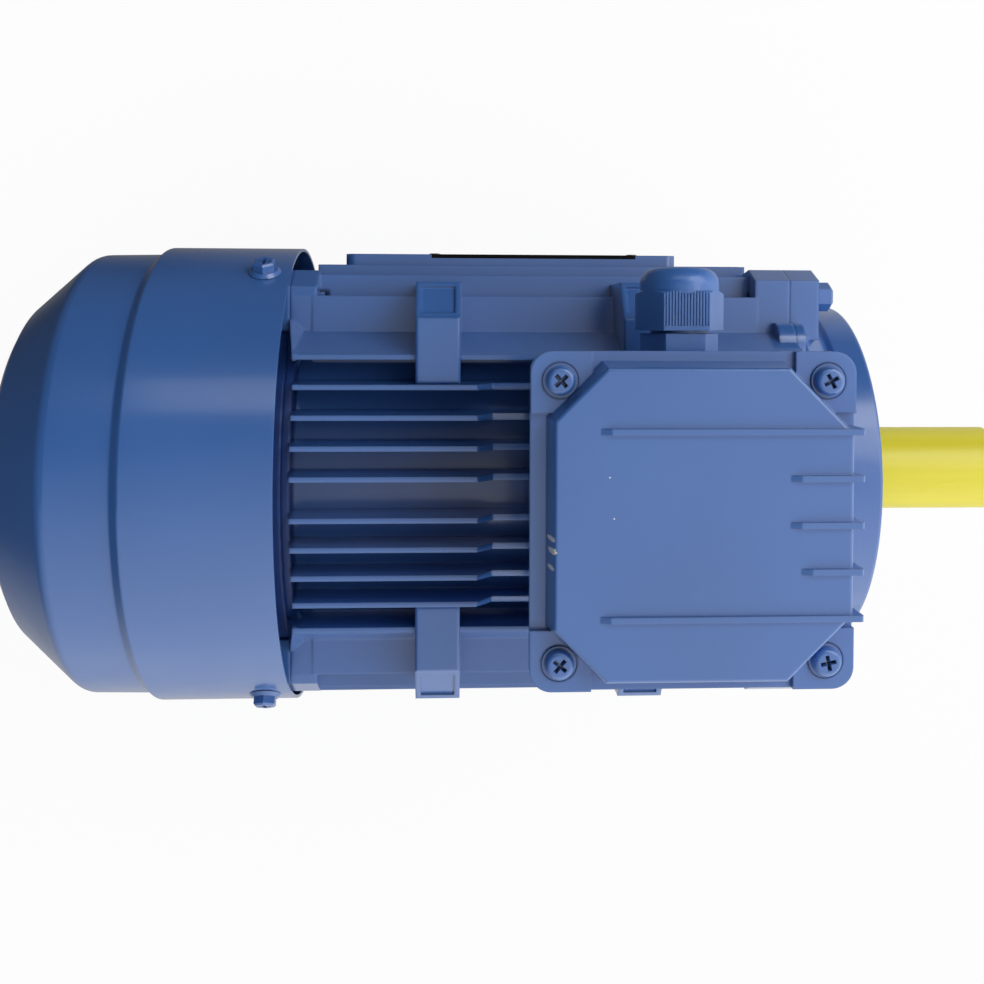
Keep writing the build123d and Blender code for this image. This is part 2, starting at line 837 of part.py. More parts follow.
with BuildPart() as stator_windings:
    with BuildSketch(section(core_rear - winding_gap)):
        with PolarLocations(slot_mid_r, slot_count):
            Rectangle(slot_depth - 2 * slot_liner, slot_width - 2 * slot_liner)
    extrude(amount=core_len + 2 * winding_gap)
    coil_in_r = stator_bore_d / 2 + tooth_tip + slot_liner
    coil_out_r = bore_r - coil_to_frame
    for coil_x in (core_front + winding_gap, core_rear - winding_gap - overhang):
        with BuildSketch(Plane.XY):
            with Locations((coil_x + overhang / 2, (coil_in_r + coil_out_r) / 2)):
                RectangleRounded(overhang, coil_out_r - coil_in_r, coil_round)
        revolve(axis=Axis.X)
stator_windings.part.label = "stator_windings"
export_step(stator_windings.part, "parts/stator_windings.step")

# Shaft, stepped from the fan end to the drive end
tail_x = fan_x - fan_hub_len - clip_thk - tail_end
shaft_profile = [
    (tail_x, 0),
    (tail_x, fan_seat_r),
    (rear_bearing_x - 2, fan_seat_r),
    (rear_bearing_x - 2, bearing_bore_r),
    (rear_bearing_x + bearing_width, bearing_bore_r),
    (rear_bearing_x + bearing_width, shoulder_shaft_r),
    (core_rear - core_seat_len, shoulder_shaft_r),
    (core_rear - core_seat_len, core_shaft_r),
    (core_front + core_seat_len, core_shaft_r),
    (core_front + core_seat_len, shoulder_shaft_r),
    (front_bearing_x - bearing_width, shoulder_shaft_r),
    (front_bearing_x - bearing_width, bearing_bore_r),
    (0, bearing_bore_r),
    (0, shaft_r),
    (shaft_len - 1, shaft_r),
    (shaft_len, shaft_r - 1),
    (shaft_len, 0),
]
key_z = shaft_r - key_seat
key_mid_x = key_setback + key_len / 2
with BuildPart() as shaft:
    with BuildSketch(Plane.XY):
        Polygon(*shaft_profile, align=None)
    revolve(axis=Axis.X)
    with BuildSketch(Plane.XY.offset(key_z)):
        with Locations((key_mid_x, 0)):
            SlotOverall(key_len, key_width)
    extrude(amount=key_height, mode=Mode.SUBTRACT)
    with Locations(section(shaft_len)):
        Hole(tap_r, depth=tap_len)
        Cone(tap_r, centre_r, centre_len, align=(Align.CENTER, Align.CENTER, Align.MAX),
             mode=Mode.SUBTRACT)
    with BuildSketch(section(fan_x - fan_hub_len)):
        Circle(fan_seat_r + 1)
        Circle(clip_groove_r, mode=Mode.SUBTRACT)
    extrude(amount=-clip_thk - running_gap, mode=Mode.SUBTRACT)
shaft.part.label = "shaft"
export_step(shaft.part, "parts/shaft.step")

with BuildPart() as shaft_key:
    with BuildSketch(Plane.XY.offset(key_z)):
        with Locations((key_mid_x, 0)):
            SlotOverall(key_len, key_width)
    extrude(amount=key_height)
shaft_key.part.label = "shaft_key"
export_step(shaft_key.part, "parts/shaft_key.step")

# Rotor core and the cast cage in it
bar_mid_r = rotor_r - cage_cover - cage_bar_depth / 2
with BuildPart() as rotor_core:
    with BuildSketch(section(core_rear)):
        Circle(rotor_r)
        Circle(core_shaft_r, mode=Mode.SUBTRACT)
        with PolarLocations(bar_mid_r, cage_bars):
            Rectangle(cage_bar_depth, cage_bar_width, mode=Mode.SUBTRACT)
    extrude(amount=core_len)
rotor_core.part.label = "rotor_core"
export_step(rotor_core.part, "parts/rotor_core.step")

with BuildPart() as rotor_cage:
    with BuildSketch(section(core_rear)):
        with PolarLocations(bar_mid_r, cage_bars):
            Rectangle(cage_bar_depth, cage_bar_width)
    extrude(amount=core_len)
    ring_out_r = rotor_r - cage_cover / 2
    for ring_x, away in ((core_front, 1), (core_rear, -1)):
        with BuildSketch(section(ring_x)):
            Circle(ring_out_r)
            Circle(cage_ring_in_r, mode=Mode.SUBTRACT)
        extrude(amount=away * cage_ring_len)
        with BuildSketch(section(ring_x + away * cage_ring_len)):
            with PolarLocations((ring_out_r + cage_ring_in_r) / 2, cage_vanes):
                Rectangle(ring_out_r - cage_ring_in_r - 3, vane_thk)
        extrude(amount=away * vane_len)
rotor_cage.part.label = "rotor_cage"
export_step(rotor_cage.part, "parts/rotor_cage.step")

# Cooling fan: hub, back plate and straight blades
with BuildPart() as fan:
    with BuildSketch(section(fan_x)):
        Circle(fan_hub_r)
    extrude(amount=-fan_hub_len)
    with BuildSketch(Plane.XY):
        Polygon(
            (fan_x, fan_seat_r),
            (fan_x, fan_r),
            (fan_x - fan_plate, fan_r),
            (fan_x - fan_plate - 2, fan_eye_r),
            (fan_x - fan_plate - 2, fan_seat_r),
            align=None,
        )
    revolve(axis=Axis.X)
    with BuildSketch(section(fan_x - fan_plate / 2)):
        with PolarLocations((fan_r + fan_eye_r) / 2, fan_blades, start_angle=90):
            Rectangle(fan_r - fan_eye_r, fan_blade_thk)
    extrude(amount=-fan_len + fan_plate / 2)
    with BuildSketch(section(fan_x)):
        Circle(fan_seat_r)
    extrude(amount=-fan_len, mode=Mode.SUBTRACT)
fan.part.label = "fan"
export_step(fan.part, "parts/fan.step")

with BuildPart() as fan_clip:
    with BuildSketch(section(fan_x - fan_hub_len)):
        Circle(clip_r)
        Circle(clip_groove_r, mode=Mode.SUBTRACT)
        with Locations((0, -clip_r)):
            Rectangle(clip_r * 0.9, clip_r, mode=Mode.SUBTRACT)
    extrude(amount=-clip_thk)
fan_clip.part.label = "fan_clip"
export_step(fan_clip.part, "parts/fan_clip.step")

# Fan cowl, pressed from one sheet, with slots in its back
cowl_outline = [
    (cowl_rim_x, cowl_r),
    (cowl_step_x, cowl_r),
    (cowl_step_x - cowl_step_run, cowl_r - cowl_step),
    (cowl_cone_x, cowl_r - cowl_step - 0.4),
    (cowl_back_x + cowl_nose, cowl_back_r),
    (cowl_back_x, cowl_back_r - cowl_corner),
]
with BuildPart() as fan_cowl:
    with BuildSketch(Plane.XY):
        with BuildLine():
            FilletPolyline(
                *cowl_outline[:-1],
                (cowl_back_x, cowl_back_r - cowl_corner),
                (cowl_back_x, 0),
                radius=[1.5, 1.5, 6.0, 3.0, 2.5],
            )
            Polyline((cowl_back_x, 0), (cowl_rim_x, 0), cowl_outline[0])
        make_face()
    revolve(axis=Axis.X)
    rim_face = fan_cowl.faces().sort_by(Axis.X)[-1]
    offset(amount=-cowl_sheet, openings=rim_face)
    with BuildSketch(section(cowl_back_x)):
        Circle(slot_rings[0][0] - slot_len)
        for ring_radius, count in slot_rings:
            with PolarLocations(ring_radius, count):
                SlotOverall(slot_len, slot_gap)
    extrude(amount=2 * cowl_sheet, mode=Mode.SUBTRACT)
    for j, k in corners:
        with BuildSketch(radial_plane(j, k, cowl_r + 1, cowl_screw_x)):
            Circle(m5_r + 3 * thread_gap)
        extrude(amount=-3 * cowl_sheet, mode=Mode.SUBTRACT)
fan_cowl.part.label = "fan_cowl"
export_step(fan_cowl.part, "parts/fan_cowl.step")

with BuildPart() as cowl_screws:
    for j, k in corners:
        with BuildSketch(radial_plane(j, k, cowl_r, cowl_screw_x)):
            Circle(m5_r)
        extrude(amount=-cowl_sheet - cowl_screw_reach + 1)
        with BuildSketch(radial_plane(j, k, cowl_r, cowl_screw_x)):
            Circle(m5_flange_r)
        extrude(amount=m5_flange, taper=m5_flange_slope)
        with BuildSketch(radial_plane(j, k, cowl_r + m5_flange, cowl_screw_x)):
            RegularPolygon(m5_hex / 2, 6, major_radius=False, rotation=30)
        extrude(amount=m5_head - m5_bevel)
        head_r = cowl_r + m5_flange + m5_head
        with BuildSketch(radial_plane(j, k, head_r - m5_bevel, cowl_screw_x)):
            RegularPolygon(m5_hex / 2, 6, major_radius=False, rotation=30)
        extrude(amount=m5_bevel, taper=45)
        with BuildSketch(radial_plane(j, k, head_r, cowl_screw_x)):
            Rectangle(cross_len, cross_width)
            Rectangle(cross_width, cross_len)
        extrude(amount=-cross_depth, taper=cross_slope, mode=Mode.SUBTRACT)
cowl_screws.part.label = "cowl_screws"
export_step(cowl_screws.part, "parts/cowl_screws.step")

# Plastic cap that guards the shaft end: a cup with ribs that grip the shaft
with BuildPart() as shaft_guard:
    with BuildSketch(Plane.XY):
        Polygon(
            (guard_start_x, guard_r - guard_wall),
            (guard_start_x, guard_r),
            (guard_end_x - guard_nose, guard_r),
            (guard_end_x, guard_r - guard_nose),
            (guard_end_x, 0),
            (guard_end_x - guard_wall, 0),
            (guard_end_x - guard_wall, guard_r - guard_wall),
            align=None,
        )
    revolve(axis=Axis.X)
    rib_out = guard_r - guard_wall / 2
    rib_in = shaft_r + 2 * running_gap
    with BuildSketch(section(guard_start_x)):
        with PolarLocations((rib_out + rib_in) / 2, guard_ribs, start_angle=45):
            Rectangle(rib_out - rib_in, guard_rib_width)
    extrude(amount=shaft_len - guard_start_x)
shaft_guard.part.label = "shaft_guard"
export_step(shaft_guard.part, "parts/shaft_guard.step")

# Gasket under the terminal box, and the box itself
with BuildPart() as base_gasket:
    with BuildSketch(Plane.XY.offset(seat_z)):
        with Locations((box_x, 0)):
            RectangleRounded(seat_len, seat_width, seat_corner)
            RectangleRounded(lead_hole_len, lead_hole_width, lead_hole_corner,
                             mode=Mode.SUBTRACT)
            with GridLocations(*seat_screws, 2, 2):
                Circle(m5_r + 3 * thread_gap, mode=Mode.SUBTRACT)
    extrude(amount=gasket_thk)
base_gasket.part.label = "base_gasket"
export_step(base_gasket.part, "parts/base_gasket.step")

board_z = floor_z + board_lift
with BuildPart() as terminal_box:
    with BuildSketch(Plane.XY.offset(box_z)):
        with Locations((box_x, 0)):
            RectangleRounded(box_len, box_width, lid_corner)
    extrude(amount=box_height)
    with BuildSketch(Plane.XY.offset(floor_z)):
        with Locations((box_x, 0)):
            RectangleRounded(
                box_len - 2 * box_wall, box_width - 2 * box_wall, lid_corner - box_wall
            )
            with GridLocations(lid_screw_dx, lid_screw_dy, 2, 2):
                Circle(m5_r + box_wall, mode=Mode.SUBTRACT)
    extrude(amount=box_height, mode=Mode.SUBTRACT)
    # Posts under the terminal board
    with BuildSketch(Plane.XY.offset(floor_z)):
        with Locations((box_x, 0)):
            with GridLocations(board_len - 2 * board_post_inset,
                               board_width - 2 * board_post_inset, 2, 2):
                Rectangle(board_post, board_post)
    extrude(amount=board_lift)
    with BuildSketch(Plane.XY.offset(box_z)):
        with Locations((box_x, 0)):
            RectangleRounded(lead_hole_len, lead_hole_width, lead_hole_corner)
            with GridLocations(*seat_screws, 2, 2):
                Circle(m5_r + 3 * thread_gap)
    extrude(amount=box_floor, mode=Mode.SUBTRACT)
    with BuildSketch(Plane.XY.offset(box_top)):
        with Locations((box_x, 0)):
            with GridLocations(lid_screw_dx, lid_screw_dy, 2, 2):
                Circle(m5_r + thread_gap)
    extrude(amount=-lid_screw_hold, mode=Mode.SUBTRACT)
    with BuildSketch(Plane.XZ.offset(-box_side_y)):
        with Locations((box_x, gland_z)):
            Circle(gland_thread_r + thread_gap)
    extrude(amount=box_wall, mode=Mode.SUBTRACT)
terminal_box.part.label = "terminal_box"
export_step(terminal_box.part, "parts/terminal_box.step")

with BuildPart() as base_screws:
    with BuildSketch(Plane.XY.offset(floor_z)):
        with Locations((box_x, 0)):
            with GridLocations(*seat_screws, 2, 2):
                Circle(pan_head_r)
    extrude(amount=pan_head)
    with BuildSketch(Plane.XY.offset(floor_z)):
        with Locations((box_x, 0)):
            with GridLocations(*seat_screws, 2, 2):
                Circle(m5_r)
    extrude(amount=-(box_floor + gasket_thk + seat_screw_depth - 2))
base_screws.part.label = "base_screws"
export_step(base_screws.part, "parts/base_screws.step")

# Terminal board with its studs, nuts and links
with BuildPart() as terminal_board:
    with BuildSketch(Plane.XY.offset(board_z)):
        with Locations((box_x, 0)):
            RectangleRounded(board_len, board_width, board_corner)
            with GridLocations(stud_dx, stud_dy, 3, 2):
                Circle(stud_r + thread_gap, mode=Mode.SUBTRACT)
    extrude(amount=board_thk)
    # Low walls that part the three phases
    with BuildSketch(Plane.XY.offset(board_z + board_thk)):
        with Locations((box_x, 0)):
            with GridLocations(stud_dx, 0, 2, 1):
                Rectangle(board_rib, board_width)
    extrude(amount=board_rib_rise)
terminal_board.part.label = "terminal_board"
export_step(terminal_board.part, "parts/terminal_board.step")

with BuildPart() as terminal_studs:
    with BuildSketch(Plane.XY.offset(board_z)):
        with Locations((box_x, 0)):
            with GridLocations(stud_dx, stud_dy, 3, 2):
                Circle(stud_r)
    extrude(amount=board_thk + stud_up)
    with BuildSketch(Plane.XY.offset(board_z)):
        with Locations((box_x, 0)):
            with GridLocations(stud_dx, stud_dy, 3, 2):
                Circle(2 * stud_r)
    extrude(amount=-stud_head)
terminal_studs.part.label = "terminal_studs"
export_step(terminal_studs.part, "parts/terminal_studs.step")

board_top = board_z + board_thk
link_z = board_top + nut_thk
with BuildPart() as terminal_nuts:
    for nut_z in (board_top, link_z + link_thk):
        with BuildSketch(Plane.XY.offset(nut_z)):
            with Locations((box_x, 0)):
                with GridLocations(stud_dx, stud_dy, 3, 2):
                    RegularPolygon(nut_hex / 2, 6, major_radius=False)
                    Circle(stud_r + thread_gap, mode=Mode.SUBTRACT)
        extrude(amount=nut_thk)
terminal_nuts.part.label = "terminal_nuts"
export_step(terminal_nuts.part, "parts/terminal_nuts.step")

with BuildPart() as terminal_links:
    with BuildSketch(Plane.XY.offset(link_z)):
        with Locations((box_x, 0)):
            with GridLocations(stud_dx, 0, 3, 1):
                SlotOverall(stud_dy + link_width, link_width, rotation=90)
            with GridLocations(stud_dx, stud_dy, 3, 2):
                Circle(stud_r + thread_gap, mode=Mode.SUBTRACT)
    extrude(amount=link_thk)
terminal_links.part.label = "terminal_links"
export_step(terminal_links.part, "parts/terminal_links.step")

with BuildPart() as earth_screw:
    with BuildSketch(Plane.XY.offset(floor_z)):
        with Locations((box_x + box_len / 2 - box_wall - m5_flange_r - 1, 0)):
            Circle(m5_flange_r)
    extrude(amount=m5_flange)
    with BuildSketch(Plane.XY.offset(floor_z + m5_flange)):
        with Locations((box_x + box_len / 2 - box_wall - m5_flange_r - 1, 0)):
            RegularPolygon(m5_hex / 2, 6, major_radius=False)
    extrude(amount=m5_head)
earth_screw.part.label = "earth_screw"
export_step(earth_screw.part, "parts/earth_screw.step")

# Lid and its gasket
with BuildPart() as lid_gasket:
    with BuildSketch(Plane.XY.offset(box_top)):
        with Locations((box_x, 0)):
            RectangleRounded(box_len, box_width, lid_corner)
            RectangleRounded(
                box_len - 2 * box_wall, box_width - 2 * box_wall, lid_corner - box_wall,
                mode=Mode.SUBTRACT,
            )
            with GridLocations(lid_screw_dx, lid_screw_dy, 2, 2):
                Circle(m5_r + box_wall)
                Circle(m5_r + 3 * thread_gap, mode=Mode.SUBTRACT)
    extrude(amount=gasket_thk)
lid_gasket.part.label = "lid_gasket"
export_step(lid_gasket.part, "parts/lid_gasket.step")


def crown_outline(inset):
    """The crown's eight corners, which clear the lid screws, drawn in by inset."""
    front = lid_len / 2 - crown_front_gap - inset
    rear = lid_len / 2 - crown_rear_gap - inset
    side = lid_width / 2 - crown_side_gap - inset
    reach = (lid_screw_dx + lid_screw_dy) / 2 - (crown_clear + inset) * sqrt(2)
    half = [
        (box_x + front, reach - front),
        (box_x + reach - side, side),
        (box_x - reach + side, side),
        (box_x - rear, reach - rear),
    ]
    return half + [(x, -y) for x, y in reversed(half)]


crown_taper = degrees(atan2(crown_slope, crown_rise))
lid_right = box_x + lid_len / 2
crown_left = box_x - lid_len / 2 + crown_rear_gap
crown_right = lid_right - crown_front_gap
with BuildPart() as terminal_lid:
    with BuildSketch(Plane.XY.offset(lid_z)):
        with Locations((box_x, 0)):
            RectangleRounded(lid_len, lid_width, lid_corner)
    extrude(amount=lid_band)
    with BuildSketch(Plane.XY.offset(band_z)):
        with Locations((box_x, 0)):
            RectangleRounded(lid_len, lid_width, lid_corner)
            Rectangle(lid_len - 2 * lug_size, lid_width, mode=Mode.SUBTRACT)
            Rectangle(lid_len, lid_width - 2 * lug_size, mode=Mode.SUBTRACT)
    extrude(amount=lug_rise)
    with BuildSketch(Plane.XY.offset(band_z)):
        Polygon(*crown_outline(0), align=None)
    extrude(amount=crown_rise, taper=crown_taper)
    fillet(terminal_lid.faces().sort_by(Axis.Z)[-1].edges(), crown_round)
    with BuildSketch(Plane.XY.offset(lid_z)):
        Polygon(*crown_outline(lid_wall), align=None)
    extrude(amount=lid_band + crown_rise - lid_wall, taper=crown_taper, mode=Mode.SUBTRACT)
    # Two long ribs and three short ones, which run over the crown's front edge
    rib_starts = [
        (2 * rib_pitch, long_rib_start),
        (rib_pitch, short_rib_start),
        (0, short_rib_start),
        (-rib_pitch, short_rib_start + low_rib_delay),
        (-2 * rib_pitch, long_rib_start),
    ]
    for rib_y, rib_start in rib_starts:
        with BuildSketch(Plane.XZ.offset(-rib_y - rib_width / 2)):
            Polygon(
                (crown_left + rib_start, crown_z - rib_rise),
                (crown_left + rib_start + rib_nose / 3, crown_z),
                (crown_left + rib_start + rib_nose, crown_z + rib_rise),
                (lid_right - rib_rise / 2, crown_z + rib_rise),
                (lid_right, crown_z + rib_rise / 2),
                (lid_right, band_z),
                (crown_right - crown_slope - 1, band_z),
                (crown_right - crown_slope - 1, crown_z - rib_rise),
                align=None,
            )
        extrude(amount=rib_width)
    with BuildSketch(Plane.XY.offset(lid_z)):
        with Locations((box_x, 0)):
            with GridLocations(lid_screw_dx, lid_screw_dy, 2, 2):
                Circle(m5_r + 3 * thread_gap)
    extrude(amount=lug_rise + lid_band, mode=Mode.SUBTRACT)
    with BuildSketch(Plane.XY.offset(lug_z)):
        with Locations((box_x, 0)):
            with GridLocations(lid_screw_dx, lid_screw_dy, 2, 2):
                Circle(lid_washer_r + 0.4)
    extrude(amount=-lug_sink, mode=Mode.SUBTRACT)
terminal_lid.part.label = "terminal_lid"
export_step(terminal_lid.part, "parts/terminal_lid.step")

with BuildPart() as lid_washers:
    with BuildSketch(Plane.XY.offset(lug_z - lug_sink)):
        with Locations((box_x, 0)):
            with GridLocations(lid_screw_dx, lid_screw_dy, 2, 2):
                Circle(lid_washer_r)
                Circle(m5_r + 2 * thread_gap, mode=Mode.SUBTRACT)
    extrude(amount=washer_thk)
lid_washers.part.label = "lid_washers"
export_step(lid_washers.part, "parts/lid_washers.step")

head_z = lug_z - lug_sink + washer_thk
screw_turns = [((-1, 1), 42), ((1, 1), 28), ((-1, -1), 50), ((1, -1), 12)]
with BuildPart() as lid_screws:
    for (j, k), turn in screw_turns:
        place = (box_x + j * lid_screw_dx / 2, k * lid_screw_dy / 2)
        with BuildSketch(Plane.XY.offset(head_z)):
            with Locations(place):
                Circle(pan_head_r)
        extrude(amount=pan_head)
        with BuildSketch(Plane.XY.offset(head_z)):
            with Locations(place):
                Circle(m5_r)
        extrude(amount=-(head_z - box_top + lid_screw_hold - 1))
    fillet(lid_screws.faces().filter_by(Plane.XY).group_by(Axis.Z)[-1].edges(), pan_head_round)
    for (j, k), turn in screw_turns:
        place = (box_x + j * lid_screw_dx / 2, k * lid_screw_dy / 2)
        with BuildSketch(Plane.XY.offset(head_z + pan_head)):
            with Locations(place):
                Rectangle(cross_len, cross_width, rotation=turn)
                Rectangle(cross_width, cross_len, rotation=turn)
        extrude(amount=-cross_depth, taper=cross_slope, mode=Mode.SUBTRACT)
lid_screws.part.label = "lid_screws"
export_step(lid_screws.part, "parts/lid_screws.step")

# Cable gland, out through the wall on the +Y side
def gland_plane(y):
    """The plane across the gland at y; a positive run goes inwards, along -Y."""
    return Plane(origin=(box_x, y, gland_z), x_dir=(1, 0, 0), z_dir=(0, -1, 0))


def hexagon(across_flats):
    """A hexagon with two corners level with its middle."""
    r = across_flats / sqrt(3)
    return [(r * cos(radians(60 * i)), r * sin(radians(60 * i))) for i in range(6)]


hex_in_y = box_side_y + oring_thk
hex_out_y = hex_in_y + gland_hex_len
nut_in_y = hex_out_y + gland_neck_len
nut_out_y = nut_in_y + gland_nut_len
dome_y = nut_out_y + gland_dome_len
neck_out_y = hex_out_y + gland_neck_reach
with BuildPart() as gland_body:
    with BuildSketch(gland_plane(hex_out_y)):
        Polygon(*hexagon(gland_hex), align=None)
    extrude(amount=gland_hex_len)
    with BuildSketch(gland_plane(hex_in_y)):
        Circle(gland_thread_r)
    extrude(amount=oring_thk + box_wall + locknut_len + 1)
    with BuildSketch(gland_plane(neck_out_y)):
        Circle(gland_neck_r)
    extrude(amount=gland_neck_reach)
    with BuildSketch(gland_plane(neck_out_y)):
        Circle(gland_bore_r)
    extrude(amount=gland_neck_reach + 30, mode=Mode.SUBTRACT)
gland_body.part.label = "gland_body"
export_step(gland_body.part, "parts/gland_body.step")

with BuildPart() as gland_oring:
    with BuildSketch(gland_plane(hex_in_y)):
        Circle(gland_hex / 2 - 0.3)
        Circle(gland_thread_r + thread_gap, mode=Mode.SUBTRACT)
    extrude(amount=oring_thk)
gland_oring.part.label = "gland_oring"
export_step(gland_oring.part, "parts/gland_oring.step")

with BuildPart() as gland_locknut:
    with BuildSketch(gland_plane(box_side_y - box_wall)):
        Polygon(*hexagon(locknut_hex), align=None)
        Circle(gland_thread_r + thread_gap, mode=Mode.SUBTRACT)
    extrude(amount=locknut_len)
gland_locknut.part.label = "gland_locknut"
export_step(gland_locknut.part, "parts/gland_locknut.step")

with BuildPart() as gland_seal:
    with BuildSketch(gland_plane(neck_out_y + gland_seal_lip)):
        Circle(gland_bore_r - running_gap)
        Circle(cable_r, mode=Mode.SUBTRACT)
    extrude(amount=gland_seal_len + gland_seal_lip)
gland_seal.part.label = "gland_seal"
export_step(gland_seal.part, "parts/gland_seal.step")

gland_side = Plane(origin=(box_x, 0, gland_z), x_dir=(1, 0, 0), z_dir=(0, 0, 1))
gland_axis = Axis((box_x, 0, gland_z), (0, 1, 0))
nut_corner_r = gland_nut_hex / sqrt(3)
with BuildPart() as gland_nut:
    with BuildSketch(gland_plane(nut_out_y)):
        Polygon(*hexagon(gland_nut_hex), align=None)
    extrude(amount=gland_nut_len)
    # Fine knurl on every other flat
    for turn in (0, 120, 240):
        with BuildSketch(gland_plane(nut_out_y)):
            for i in range(knurl_count):
                across = (i - (knurl_count - 1) / 2) * knurl_pitch
                flat = (gland_nut_hex - knurl_depth) / 2
                a = radians(turn)
                with Locations((across * cos(a) - flat * sin(a), across * sin(a) + flat * cos(a))):
                    Rectangle(knurl_pitch / 2, 2 * knurl_depth, rotation=turn)
        extrude(amount=gland_nut_len - 1.5, mode=Mode.SUBTRACT)
    # Bevel round the outer end of the hexagon
    with BuildSketch(gland_side):
        Polygon(
            (0, nut_in_y),
            (nut_corner_r, nut_in_y),
            (nut_corner_r, nut_out_y - gland_nut_bevel / 2),
            (nut_corner_r - gland_nut_bevel, nut_out_y),
            (0, nut_out_y),
            align=None,
        )
    revolve(axis=gland_axis, mode=Mode.INTERSECT)
    # Rounded front, turned about the gland's own axis
    with BuildSketch(gland_side):
        with BuildLine():
            FilletPolyline(
                (0, nut_out_y - 1),
                (gland_dome_r, nut_out_y - 1),
                (gland_dome_r, dome_y),
                (gland_mouth_r, dome_y),
                (gland_mouth_r, dome_y - 2),
                (0, dome_y - 2),
                radius=[0.4, gland_dome_round, 0.8, 0.3],
            )
            Line((0, dome_y - 2), (0, nut_out_y - 1))
        make_face()
    revolve(axis=gland_axis)
    with BuildSketch(gland_plane(nut_in_y)):
        Circle(gland_neck_r + thread_gap)
    extrude(amount=-(neck_out_y - nut_in_y + 1.2), mode=Mode.SUBTRACT)
    with BuildSketch(gland_plane(dome_y)):
        Circle(gland_mouth_r)
    extrude(amount=gland_dome_len + gland_nut_len, mode=Mode.SUBTRACT)
gland_nut.part.label = "gland_nut"
export_step(gland_nut.part, "parts/gland_nut.step")
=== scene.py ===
"""Finish, light and camera for a three-phase motor. Metres, in the part's own frame."""
import json
import math

import bpy
from mathutils import Matrix, Vector


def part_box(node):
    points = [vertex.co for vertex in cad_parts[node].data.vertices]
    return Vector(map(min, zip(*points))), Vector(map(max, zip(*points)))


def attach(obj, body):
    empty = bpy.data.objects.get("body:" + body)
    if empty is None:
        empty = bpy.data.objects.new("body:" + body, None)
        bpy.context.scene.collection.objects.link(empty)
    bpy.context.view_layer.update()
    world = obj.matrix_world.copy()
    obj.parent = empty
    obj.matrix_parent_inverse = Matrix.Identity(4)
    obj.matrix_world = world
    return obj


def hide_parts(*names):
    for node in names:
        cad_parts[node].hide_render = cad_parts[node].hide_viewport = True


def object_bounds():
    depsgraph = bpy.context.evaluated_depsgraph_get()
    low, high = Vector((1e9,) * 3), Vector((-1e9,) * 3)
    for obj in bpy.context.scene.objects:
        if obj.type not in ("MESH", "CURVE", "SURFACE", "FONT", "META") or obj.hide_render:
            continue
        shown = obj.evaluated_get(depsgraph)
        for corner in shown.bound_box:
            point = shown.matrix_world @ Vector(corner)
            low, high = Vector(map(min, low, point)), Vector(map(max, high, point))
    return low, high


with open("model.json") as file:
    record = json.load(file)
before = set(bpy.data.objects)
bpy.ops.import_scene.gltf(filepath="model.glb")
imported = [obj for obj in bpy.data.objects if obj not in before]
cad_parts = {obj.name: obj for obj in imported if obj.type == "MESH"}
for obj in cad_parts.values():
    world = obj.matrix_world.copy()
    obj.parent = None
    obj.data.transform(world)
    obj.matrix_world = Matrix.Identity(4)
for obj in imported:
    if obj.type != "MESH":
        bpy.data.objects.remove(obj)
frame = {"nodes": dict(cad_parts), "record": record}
cad_low, cad_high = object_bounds()
rear_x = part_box("frame_housing")[0].x
lid_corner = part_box("terminal_lid")[0]
MM = 0.001

scene = bpy.context.scene
scene.view_settings.view_transform = "Standard"


# Camera, as the photograph was taken: above the terminal box, looking down

PICTURE = 984
FOCAL_PX = 1154.5  # the focal length, in the photograph's pixels
MIDDLE_PX = (507.8, 351.2)  # what lies straight ahead of the camera
SENSOR_MM = 36.0
CAMERA_MM = Vector((-163.9, 63.2, 494.5))
YAW, PITCH, ROLL = -0.052, -0.0258, 0.0037

cam_data = bpy.data.cameras.new("camera")
cam_data.sensor_width = SENSOR_MM
cam_data.lens = FOCAL_PX * SENSOR_MM / PICTURE
cam_data.shift_x = (PICTURE / 2 - MIDDLE_PX[0]) / PICTURE
cam_data.shift_y = (MIDDLE_PX[1] - PICTURE / 2) / PICTURE
cam_data.clip_start = 0.01
cam_data.clip_end = 20
camera = bpy.data.objects.new("camera", cam_data)
scene.collection.objects.link(camera)
turn = (
    Matrix.Rotation(YAW, 4, "Y")
    @ Matrix.Rotation(PITCH, 4, "X")
    @ Matrix.Rotation(ROLL, 4, "Z")
)
camera.matrix_world = Matrix.Translation(CAMERA_MM * MM) @ turn
scene.camera = camera


# Materials

BEVEL_SAMPLES = 6


def put(tree, socket, value):
    """Sets a socket to value, or links it where value is a socket itself."""
    if isinstance(value, bpy.types.NodeSocket):
        tree.links.new(value, socket)
    else:
        socket.default_value = value


def maths(tree, operation, *values):
    """The result of a maths node with these values or sockets."""
    made = tree.nodes.new("ShaderNodeMath")
    made.operation = operation
    for socket, value in zip(made.inputs, values):
        put(tree, socket, value)
    return made.outputs["Value"]


def vector_maths(tree, operation, *values, result="Value"):
    """The same for vectors. result names the output: Value for a number, Vector for a vector."""
    made = tree.nodes.new("ShaderNodeVectorMath")
    made.operation = operation
    for socket, value in zip(made.inputs, values):
        put(tree, socket, value)
    return made.outputs[result]


